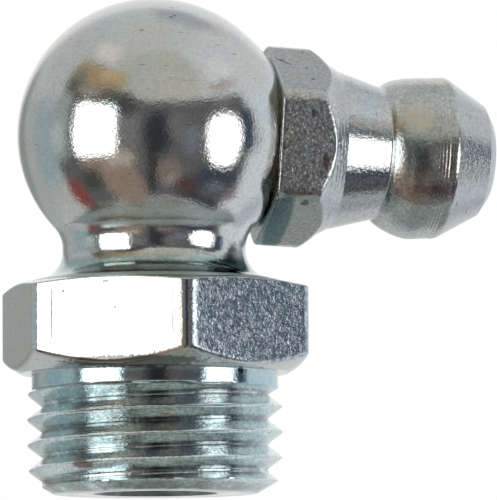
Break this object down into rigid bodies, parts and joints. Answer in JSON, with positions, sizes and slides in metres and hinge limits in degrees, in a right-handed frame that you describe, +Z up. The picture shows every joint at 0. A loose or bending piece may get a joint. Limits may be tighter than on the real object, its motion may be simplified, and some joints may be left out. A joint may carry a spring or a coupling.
{
  "type": "grease nipple",
  "caption": "Right-angle grease nipple: threaded spigot, hexagon, round ball elbow and a side head with a sprung check ball.",
  "frame": {"origin": "centre of the grease outlet, where the thread axis meets the threaded end face", "axes": "+Z up the thread axis from the threaded end to the ball, +X out of the ball along the head, seen from above"},
  "size_m": [0.0191, 0.0126, 0.0195],
  "materials": {
    "plated_steel": "bright zinc plated, turned",
    "ball_steel": "polished",
    "spring_steel": "drawn wire"
  },
  "bodies": {
    "fitting": {"body": "plated_steel", "nipple_head": "plated_steel", "check_spring": "spring_steel"},
    "check_ball": {"check_ball": "ball_steel"}
  },
  "joints": [
    {"name": "check_ball_lift", "type": "slide", "parent": "fitting", "child": "check_ball", "axis": [-0.9986, 0, 0.0523], "range_m": [0, 0.001], "stiffness_N_per_m": 50, "springref_m": -0.002, "deforming": ["check_spring"]}
  ]
}
